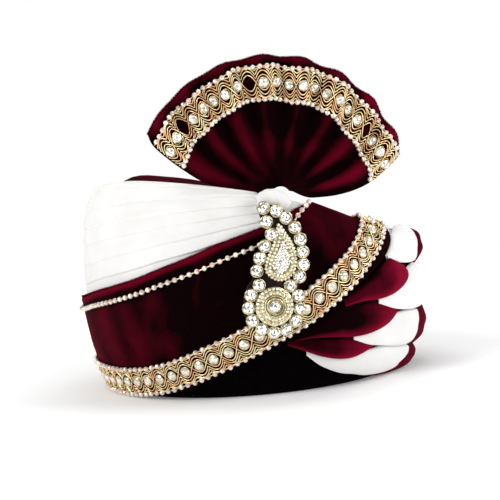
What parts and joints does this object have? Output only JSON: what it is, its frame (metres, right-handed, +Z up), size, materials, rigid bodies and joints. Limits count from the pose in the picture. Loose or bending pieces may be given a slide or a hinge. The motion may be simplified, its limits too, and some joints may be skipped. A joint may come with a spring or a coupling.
{
  "type": "tied turban",
  "caption": "Ready-tied turban of pleated winding cloth with a wide velvet band edged in lace and beads, petal folds at the side, an upright pleated fan and a paisley brooch; worn on the head.",
  "frame": {"origin": "on the table, under the middle of the turban's bounding box", "axes": "+Z up, -Y towards the front where the brooch and the fan are, +X towards the wearer's left, where the petal folds are"},
  "size_m": [0.2456, 0.272, 0.2241],
  "materials": {
    "velvet": "maroon velvet with a short pile",
    "dark_velvet": "velvet of a darker maroon, close to black in shadow",
    "white_cloth": "smooth white cloth, matt",
    "gold_lace": "gold thread lace with small set stones",
    "pearls": "glossy round beads",
    "brooch_metal": "bright gilt",
    "stones": "faceted, polished, foil backed"
  },
  "bodies": {
    "root": {"crown_cap": "velvet", "velvet_band": "velvet", "velvet_petal_2": "velvet", "velvet_petal_3": "velvet", "velvet_petal_4": "velvet", "velvet_crescent_1": "velvet", "velvet_crescent_3": "velvet", "velvet_crescent_4": "velvet", "fan": "velvet", "base_wrap": "dark_velvet", "white_wrap": "white_cloth", "white_petal_1": "white_cloth", "white_petal_2": "white_cloth", "white_petal_3": "white_cloth", "white_petal_4": "white_cloth", "knot": "white_cloth", "band_lace": "gold_lace", "fan_lace": "gold_lace", "band_pearls": "pearls", "brooch_setting": "brooch_metal", "brooch_drop": "brooch_metal", "brooch_medallion": "brooch_metal", "brooch_pin": "brooch_metal", "brooch_centre_stone": "stones", "brooch_stone_01": "stones", "brooch_stone_02": "stones", "brooch_stone_03": "stones", "brooch_stone_04": "stones", "brooch_stone_05": "stones", "brooch_stone_06": "stones", "brooch_stone_07": "stones", "brooch_stone_08": "stones", "brooch_stone_09": "stones", "brooch_stone_10": "stones", "brooch_stone_11": "stones", "brooch_stone_12": "stones", "brooch_stone_13": "stones", "brooch_stone_14": "stones", "brooch_stone_15": "stones", "brooch_stone_16": "stones", "brooch_stone_17": "stones", "brooch_stone_18": "stones", "brooch_stone_19": "stones", "brooch_stone_20": "stones", "brooch_stone_21": "stones", "brooch_stone_22": "stones", "brooch_stone_23": "stones", "brooch_stone_24": "stones"}
  },
  "joints": []
}
